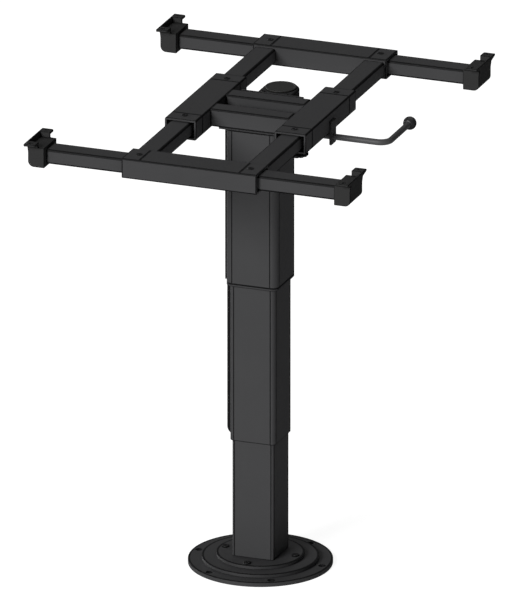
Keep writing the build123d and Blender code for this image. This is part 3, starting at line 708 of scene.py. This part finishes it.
def fluted_knob_tree():
    """A flat round knob with flutes round its rim, standing on Z = 0."""
    tree, given, out = new_tree("Fluted knob", Float=("Radius", "Thick", "Flute Depth"),
                                Int=("Flutes",), Material=("Material",))
    rim_steps, flute_start = 180, 0.2
    rim = add(tree, "GeometryNodeCurvePrimitiveCircle",
              {"Resolution": rim_steps, "Radius": given["Radius"]})
    spot = add(tree, "GeometryNodeInputPosition").outputs[0]
    across = add(tree, "ShaderNodeSeparateXYZ", {0: spot}).outputs
    angle = worked_out(tree, "ARCTAN2", across[1], across[0])
    crest = worked_out(tree, "COSINE", worked_out(tree, "MULTIPLY", angle, given["Flutes"]))
    sunk = add(tree, "ShaderNodeMapRange",
               {"Value": crest, "From Min": flute_start, "From Max": 1.0, "To Min": 0.0,
                "To Max": 1.0}, interpolation_type="SMOOTHSTEP")
    depth = worked_out(tree, "MULTIPLY", sunk.outputs[0], given["Flute Depth"])
    keep = worked_out(tree, "SUBTRACT", 1.0, worked_out(tree, "DIVIDE", depth, given["Radius"]))
    inward = add(tree, "ShaderNodeVectorMath", {0: spot, "Scale": keep}, operation="SCALE")
    waved = add(tree, "GeometryNodeSetPosition",
                {"Geometry": rim.outputs[0], "Position": inward.outputs[0]})
    face = add(tree, "GeometryNodeFillCurve", {"Curve": waved.outputs[0]}, mode="NGONS")
    return finished(tree, given, out, raised(tree, face.outputs[0], given["Thick"]))


def socket_head(radius, high, edge, socket, deep):
    """A screw head with a rounded rim and a hexagon socket, standing on Z = 0."""
    turns = around(36)

    def circle(r, z):
        return [(r * math.cos(t), r * math.sin(t), z) for t in turns]

    def hexagon(z):
        flat = socket * math.cos(SIXTH_TURN / 2)
        reach = [flat / math.cos(t % SIXTH_TURN - SIXTH_TURN / 2) for t in turns]
        return [(r * math.cos(t), r * math.sin(t), z) for r, t in zip(reach, turns)]

    rings = [circle(radius, 0.0)]
    rings += [circle(radius - edge + edge * math.sin(a), high - edge + edge * math.cos(a))
              for a in swept(QUARTER_TURN, 0.0, 4)]
    rings += [circle(socket * 1.12, high), hexagon(high - 0.1 * edge), hexagon(high - deep)]
    return rounded(skin(rings), 0.0)


def place_heads(name, tree, head, node, at=(0, 0, 0), **values):
    """Puts a head on every spot of a tree's pattern, about a place, as one piece."""
    fixing = holding(head)
    mesh = grown(tree, fixing=fixing, material=FINISHES["screw"], **values)
    bpy.data.objects.remove(fixing)
    piece(name, moved(mesh, Matrix.Translation(at)), "screw", node)


# Operators


class COLUMN_OT_foot(bpy.types.Operator):
    """Turns the three foot discs, with countersunk floor holes, and sets the foot plate's bolts"""

    bl_idname = "column.foot"
    bl_label = "Foot"

    def execute(self, context):
        sizes = context.scene.column_sizes
        ring = ring_of_fixings_tree()
        hub, level = 20 * MM, 0.9
        hole, sink, sink_deep, past = 2.75 * MM, 5.2 * MM, 2.6 * MM, 0.05 * MM
        for node in ("floor_flange", "spacer_disc", "foot_plate"):
            low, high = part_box(node)
            radius, thick = high.x, high.z - low.z
            inner = radius - sizes.disc_band
            mesh = turned([(hub, low.z), (radius, low.z), (radius, high.z), (inner, high.z),
                           (hub, high.z)], 144)
            if node == "floor_flange":
                drill = holding(turned([(hole, -1 * MM), (hole, thick - sink_deep),
                                        (sink, thick + past), (sink, thick + 2 * MM)], 40))
                holes = grown(ring, fixing=drill, count=6, radius=95 * MM, height=0.0,
                              material=FINISHES["coat"])
                bpy.data.objects.remove(drill)
                mesh = cut(mesh, holes)

            # Painted shade: the top band along each rim and the walls of the floor holes go in the
            # dark slot
            def painted_dark(face):
                """Along the rim's top, and inside the floor holes."""
                out = face.center.xy.length
                on_rim = face.normal.z > level and out > inner
                in_hole = abs(face.normal.z) < level and out < radius - 1 * MM
                return on_rim or in_hole

            mesh = painted_shade(mesh, painted_dark)
            piece(f"turned_{node}", rounded(mesh, sizes.disc_edge), "coat", node)
        head = socket_head(radius=5.5 * MM, high=2.4 * MM, edge=1.1 * MM, socket=1.75 * MM,
                           deep=1.5 * MM)
        place_heads("foot_socket_bolts", ring, head, "foot_bolts", count=4, radius=54 * MM,
                    height=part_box("foot_plate")[1].z)
        return {"FINISHED"}


class COLUMN_OT_tubes(bpy.types.Operator):
    """Draws the sleeves, collars, rails, arms and cross bars from one rule for hollow sections"""

    bl_idname = "column.tubes"
    bl_label = "Hollow sections"

    def execute(self, context):
        sizes = context.scene.column_sizes
        tree = hollow_section_tree()
        slanting = 0.1

        def section(node, axis, wall, corner, long=None, at=0.0, where=anywhere):
            """A tube over a node's box, with painted shade along its corners and beside its ends.
            """
            low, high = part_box(node)
            size, centre = high - low, (low + high) / 2
            long = long or size[axis]
            end = long / 2 - sizes.tube_band
            mesh = grown(tree, wide=size[1 - axis], high=size.z, wall=wall, corner=corner,
                         long=long, material=FINISHES["coat"])
            split(mesh, Z, (-end, end))
            centre[axis] += at
            place = Matrix.Translation(centre) @ LAID[axis]

            # Painted shade: the corners' rounds are painted dark in place of their highlight, and a
            # band beside each end is painted dark
            def painted_dark(face):
                on_corner = min(abs(face.normal.x), abs(face.normal.y)) > slanting
                beside_end = abs(face.center.z) > end and upright(face)
                return on_corner or beside_end and where(place @ face.center)

            return moved(painted_shade(mesh, painted_dark), place)

        def tube(name, node, axis, wall, corner):
            mesh = section(node, axis, wall, corner)
            piece(name, rounded(mesh, sizes.tube_edge), "coat", node)

        slide_corner, bar_wall, bar_corner = 3 * MM, 2.5 * MM, 2.7 * MM
        for side in ("left", "right"):
            tube(f"{side}_rail_tube", f"{side}_rail", Y, sizes.tube_wall, slide_corner)
        for end in ("front", "rear"):
            tube(f"{end}_arm_tube", f"{end}_arm", X, sizes.tube_wall, slide_corner)
            tube(f"{end}_cross_bar_tube", f"{end}_cross_bar", X, bar_wall, bar_corner)

        wall, corner, long = sizes.sleeve_wall, 2.2 * MM, sizes.collar_long
        sleeves = {"left": ("left_sleeve", Y), "right": ("right_sleeve", Y),
                   "front": ("front_cross_sleeve", X), "rear": ("rear_cross_sleeve", X)}
        for name, (node, axis) in sleeves.items():
            collars = f"{name}_sleeve_collars"
            low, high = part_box(collars)
            middle, reach = (low + high)[axis] / 2, (high - low)[axis]
            out = (reach - long) / 2

            def opens(spot):
                """The cross sleeves' seams open only on top, the long ones' all round."""
                free_end = abs(spot[axis] - middle) > reach / 2 - sizes.tube_band
                return axis == Y or free_end or spot.z > high.z - 0.1 * MM

            whole = section(node, axis, wall, corner, where=opens)
            piece(f"{node}_tube", rounded(whole, sizes.seam_edge, opens), "coat", node)
            pair = joined([section(collars, axis, wall, corner, long, at, opens)
                           for at in (-out, out)])
            piece(f"{collars}_pair", rounded(pair, sizes.seam_edge, opens), "coat", collars)
        return {"FINISHED"}


class COLUMN_OT_formed(bpy.types.Operator):
    """Rounds the edges of the telescoping tubes, the head plate, the castings and the mouldings"""

    bl_idname = "column.formed"
    bl_label = "Formed and cast parts"

    def execute(self, context):
        sizes = context.scene.column_sizes
        sheet_edge, near, slanting = 0.8 * MM, 0.3 * MM, 0.3
        # Each tube's corner radius, and how much of a painted-shade band its foot has
        tubes = {"lower_tube": (3 * MM, 0.5), "middle_tube": (6 * MM, 0.5),
                 "upper_tube": (10 * MM, 1.0)}
        for node, (corner, share) in tubes.items():
            low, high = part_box(node)
            foot, half = low.z + sizes.tube_band * share, high.x
            bend = half - corner
            strip = bend - sizes.bend_line
            mesh = split(welded(node), Z, (foot,))
            for axis in (X, Y):
                split(mesh, axis, (-bend, -strip, strip, bend))

            # Painted shade: a dark band at the foot where the tube meets the part below, dark lines
            # where the corners start to bend, and dark sides on the rib
            def painted_dark(face):
                """At the foot, along the lines where the corners bend, and on the rib's sides."""
                across, out = (X, Y) if abs(face.normal.y) > SQUARE else (Y, X)
                at_wall = abs(abs(face.center[out]) - half) < near
                on_line = (abs(face.normal[out]) > SQUARE and at_wall
                           and strip < abs(face.center[across]) < bend)
                on_rib = face.center.x < -half - near and abs(face.normal.y) > slanting
                return upright(face) and (face.center.z < foot or on_line or on_rib)

            piece(f"{node}_eased", rounded(painted_shade(mesh, painted_dark), sizes.tube_edge), "coat", node)
        # Painted shade: the guard's faces toward front and back are painted dark
        guard = painted_shade(welded("belt_guard"), lambda face: abs(face.normal.y) > slanting)
        piece("belt_guard_eased", rounded(guard, sheet_edge), "coat", "belt_guard")
        groups = (
            ("coat", sheet_edge, ("head_plate", "lever_guide", "clamp_nut")),
            ("casting", sizes.casting_edge, ("front_left_bracket", "front_right_bracket",
                                             "rear_left_bracket", "rear_right_bracket")),
            ("moulding", 0.6 * MM, ("upper_glide",)),
            ("cover", 0.8 * MM, ("rear_cover",)),
            ("steel", 0.3 * MM, ("rod_bridge", "rod_nut", "release_finger")),
        )
        for finish, edge, nodes in groups:
            for node in nodes:
                piece(f"{node}_eased", rounded(welded(node), edge), finish, node)
        return {"FINISHED"}


class COLUMN_OT_fixings(bpy.types.Operator):
    """Sets the collar screws and the rear cover's lid and screws"""

    bl_idname = "column.fixings"
    bl_label = "Screws and cover lid"

    def execute(self, context):
        corners = four_fixings_tree()
        radius, thick = 4.6 * MM, 1.0 * MM
        head = socket_head(radius, thick, edge=0.5 * MM, socket=2.0 * MM, deep=0.9 * MM)
        for node in ("head_collar_screws", "frame_collar_screws"):
            low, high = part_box(node)
            apart = high - low
            place_heads(f"{node}_set", corners, head, node, rows=2, apart_x=apart.x - 2 * radius,
                        apart_y=apart.y - 2 * radius, height=high.z - thick)
        radius = 3.2 * MM
        head = socket_head(radius, high=1.6 * MM, edge=0.8 * MM, socket=1.2 * MM, deep=1.2 * MM)
        low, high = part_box("rear_cover_screws")
        place_heads("rear_cover_screw_pair", corners, head, "rear_cover_screws",
                    at=(0, (low.y + high.y) / 2, 0), rows=1,
                    apart_x=high.x - low.x - 2 * radius, apart_y=0.0, height=low.z)

        low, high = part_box("rear_cover_lid")
        radius, thick = high.x, high.z - low.z
        rim, slope, dish, soft, crisp = 3 * MM, 0.6 * MM, 0.5 * MM, 1.0 * MM, 0.2 * MM
        profile = eased([(AXIS, 0), (radius, 0), (radius, thick), (radius - rim, thick),
                         (radius - rim - slope, thick - dish), (AXIS, thick - dish)],
                        [0.0, 0.0, soft, crisp, crisp, 0.0])
        place = Matrix.Translation(((low.x + high.x) / 2, (low.y + high.y) / 2, low.z))
        piece("rear_cover_dished_lid", moved(rounded(turned(profile), 0.0), place), "lid",
              "rear_cover_lid")
        return {"FINISHED"}


class COLUMN_OT_lever(bpy.types.Operator):
    """Bends the height lever's round bar, turns its ball and finishes its bush"""

    bl_idname = "column.lever"
    bl_label = "Height lever"

    def execute(self, context):
        low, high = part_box("lever_arm")
        thick, bend = 4.5 * MM, 15.6 * MM
        x, y, z = high.x - thick, low.y + thick, (low.z + high.z) / 2
        path = [(low.x + 0.01 * MM, y, 0.0)]
        path += [(x - bend + bend * math.sin(a), y + bend - bend * math.cos(a), a)
                 for a in swept(0.0, QUARTER_TURN, 16)]
        path += [(x, high.y, QUARTER_TURN)]
        rings = []
        for px, py, heading in path:
            side = Vector((-math.sin(heading), math.cos(heading), 0))
            rings.append([Vector((px, py, z)) + thick * (side * math.cos(t) + UP * math.sin(t))
                          for t in around(32)])
        piece("lever_bent_bar", rounded(skin(rings), 0.4 * MM), "lever", "lever_arm")

        low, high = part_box("lever_ball")
        radius, neck = (high.x - low.x) / 2, 5.6 * MM
        start = math.asin(neck / radius)
        profile = [(thick + 0.1 * MM, -radius * math.cos(start))]
        profile += [(radius * math.sin(a), -radius * math.cos(a))
                    for a in swept(start, math.pi, 36)[:-1]]
        profile.append((AXIS, radius))
        centre = (low + high) / 2
        centre.y = high.y - radius
        place = Matrix.Translation(centre) @ Matrix.Rotation(-QUARTER_TURN, 4, "X")
        ball = rounded(turned(profile, 64), 0.0)
        piece("lever_ball_knob", moved(ball, place), "ball", "lever_ball")
        dress("acetal", "lever_bush")
        return {"FINISHED"}


class COLUMN_OT_clamp(bpy.types.Operator):
    """Makes the slide clamp's fluted knob, hub and screw"""

    bl_idname = "column.clamp"
    bl_label = "Slide clamp"

    def execute(self, context):
        low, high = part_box("clamp_screw")
        tall, disc, hub_high, sunk = high.z - low.z, 4 * MM, 7.8 * MM, 0.1 * MM
        hub_foot, hub_top, screw = 8.5 * MM, 6.5 * MM, 3 * MM
        knob = grown(fluted_knob_tree(), radius=(high.x - low.x) / 2, thick=disc,
                     flutes=context.scene.column_sizes.grip_count, flute_depth=1.4 * MM,
                     material=FINISHES["moulding"])
        hub = turned(eased([(AXIS, disc - sunk), (hub_foot, disc - sunk), (hub_top, hub_high),
                            (AXIS, hub_high)], [0.0, 0.0, 0.6 * MM, 0.0]), 48)
        stem = turned([(AXIS, hub_high - sunk), (screw, hub_high - sunk), (screw, tall),
                       (AXIS, tall)], 32)
        whole = joined([rounded(knob, 0.7 * MM), rounded(hub, 0.0), rounded(stem, 0.2 * MM)])
        place = Matrix.Translation(((low.x + high.x) / 2, (low.y + high.y) / 2, low.z))
        piece("clamp_fluted_knob", moved(rounded(whole, 0.0), place), "moulding", "clamp_screw")
        return {"FINISHED"}


class COLUMN_OT_drive(bpy.types.Operator):
    """Turns the belt pulleys, and finishes the belt, the gas spring, the glides and the clamps"""

    bl_idname = "column.drive"
    bl_label = "Belt drive and gas spring"

    def execute(self, context):
        bore, boss, seat = 2.55 * MM, 4.5 * MM, 8 * MM
        wide, inside = 6.5 * MM, 5.3 * MM
        for node in ("low_pulley", "high_pulley"):
            low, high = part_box(node)
            half, outer = (high.y - low.y) / 2, (high.x - low.x) / 2
            profile = [(bore, -half), (boss, -half), (boss, -wide), (outer, -wide),
                       (outer, -inside), (seat, -inside), (seat, inside), (outer, inside),
                       (outer, wide), (boss, wide), (boss, half), (bore, half)]
            wheel = rounded(turned(profile, 64, wrapped=True), 0.2 * MM)
            place = Matrix.Translation((low + high) / 2) @ LAID[Y]
            piece(f"{node}_wheel", moved(wheel, place), "acetal", node)
        dress("belt", "lift_belt")
        dress("acetal", "lower_glide", "middle_low_glide", "middle_high_glide",
              "left_sleeve_guides", "right_sleeve_guides", "front_sleeve_guides",
              "rear_sleeve_guides")
        dress("steel", "middle_cap", "lower_belt_clamp", "upper_belt_clamp", "release_pin")
        dress("rod", "gas_rod", "pulley_axles")
        dress("enamel", "gas_cylinder")
        dress("screw", "bar_bolts")
        return {"FINISHED"}


class COLUMN_OT_stage(bpy.types.Operator):
    """Sets the studio: a pale floor, soft light and the camera at the photograph's angle"""

    bl_idname = "column.stage"
    bl_label = "Stage"

    def execute(self, context):
        scene, studio = context.scene, context.scene.column_studio
        white = linear("#ffffff")
        reach = 60.0
        floor_mesh = bpy.data.meshes.new("studio_floor")
        floor_mesh.from_pydata([(-reach, -reach, 0), (reach, -reach, 0), (reach, reach, 0),
                                (-reach, reach, 0)], [], [(0, 1, 2, 3)])
        # It glows, as if lit from below, so that it stays pale where the column shades it
        returned = [0.3 * c for c in studio.floor[:3]] + [1.0]
        paper, tree, shader, place = surface("Translucent studio floor", returned,
                                             roughness=0.9, specular=0.1)
        tone(tree, shader, place, returned, size=0.5, change=0.01)
        shader.inputs["Emission Color"].default_value = studio.floor
        shader.inputs["Emission Strength"].default_value = studio.glow
        floor_mesh.materials.append(paper)
        floor = bpy.data.objects.new("studio_floor", floor_mesh)
        floor.location.z = -0.2 * MM
        floor.visible_glossy = False
        scene.collection.objects.link(floor)

        def sun(name, strength, from_way, spread):
            lamp = bpy.data.lights.new(name, "SUN")
            lamp.energy = strength
            lamp.angle = math.radians(spread)
            light = bpy.data.objects.new(name, lamp)
            light.rotation_mode = "QUATERNION"
            light.rotation_quaternion = Vector(from_way).to_track_quat("Z", "Y")
            scene.collection.objects.link(light)

        sun("key_light", studio.key, from_way=(-0.27, -0.87, 0.42), spread=26)
        sun("fill_light", studio.fill, from_way=(-0.90, 0.42, 0.10), spread=20)
        sun("top_light", studio.top, from_way=(0.0, 0.45, 0.89), spread=60)
        world = bpy.data.worlds.new("studio_room")
        world.use_nodes = True
        room = world.node_tree
        # A white backdrop in every view, behind a column lit mostly by the lamps and the floor
        dim = room.nodes["Background"]
        dim.inputs["Strength"].default_value = studio.room
        dim.inputs["Color"].default_value = white
        backdrop = add(room, "ShaderNodeBackground", {"Color": white, "Strength": 1.0})
        seen = add(room, "ShaderNodeLightPath").outputs["Is Camera Ray"]
        both = add(room, "ShaderNodeMixShader",
                   {0: seen, 1: dim.outputs[0], 2: backdrop.outputs[0]})
        room.links.new(both.outputs[0], room.nodes["World Output"].inputs["Surface"])
        scene.world = world

        turn, rise = math.radians(PHOTO_TURN), math.radians(PHOTO_RISE)
        back = Vector((math.sin(turn) * math.cos(rise), -math.cos(turn) * math.cos(rise),
                       math.sin(rise)))
        lens = bpy.data.cameras.new("photo_camera")
        lens.lens = studio.lens
        lens.sensor_width = 36.0
        lens.clip_start, lens.clip_end = 1.0, 200.0
        camera = bpy.data.objects.new("photo_camera", lens)
        away = PHOTO_TALL * PHOTO_PIXEL * studio.lens / lens.sensor_width
        camera.location = PHOTO_CENTRE + back * away
        camera.rotation_mode = "QUATERNION"
        camera.rotation_quaternion = (-back).to_track_quat("-Z", "Y")
        scene.collection.objects.link(camera)
        scene.camera = camera
        scene.view_settings.view_transform = "Standard"
        return {"FINISHED"}


class COLUMN_PT_looks(bpy.types.Panel):
    """Lists the column's steps and settings"""

    bl_idname = "COLUMN_PT_looks"
    bl_label = "Lifting column"
    bl_space_type = "VIEW_3D"
    bl_region_type = "UI"
    bl_category = "Column"

    def draw(self, context):
        layout = self.layout
        for group, settings in GROUPS.items():
            box = layout.box()
            for name in settings.__annotations__:
                box.prop(getattr(context.scene, group), name)
        for step in STEPS:
            layout.operator(step.bl_idname)


GROUPS = {"column_finish": ColumnFinish, "column_sizes": ColumnSizes, "column_studio": ColumnStudio}
STEPS = (COLUMN_OT_foot, COLUMN_OT_tubes, COLUMN_OT_formed, COLUMN_OT_fixings, COLUMN_OT_lever,
         COLUMN_OT_clamp, COLUMN_OT_drive, COLUMN_OT_stage)


def register():
    """Adds the settings, steps and panel."""
    for group in (*GROUPS.values(), *STEPS, COLUMN_PT_looks):
        bpy.utils.register_class(group)
    for name, group in GROUPS.items():
        setattr(bpy.types.Scene, name, bpy.props.PointerProperty(type=group))


def unregister():
    """Takes them away again."""
    for name in GROUPS:
        delattr(bpy.types.Scene, name)
    for group in (COLUMN_PT_looks, *reversed(STEPS), *GROUPS.values()):
        bpy.utils.unregister_class(group)


def main():
    """Dresses the whole column."""
    register()
    make_finishes()
    for step in STEPS:
        space, name = step.bl_idname.split(".")
        getattr(getattr(bpy.ops, space), name)()


if __name__ == "__main__":
    main()
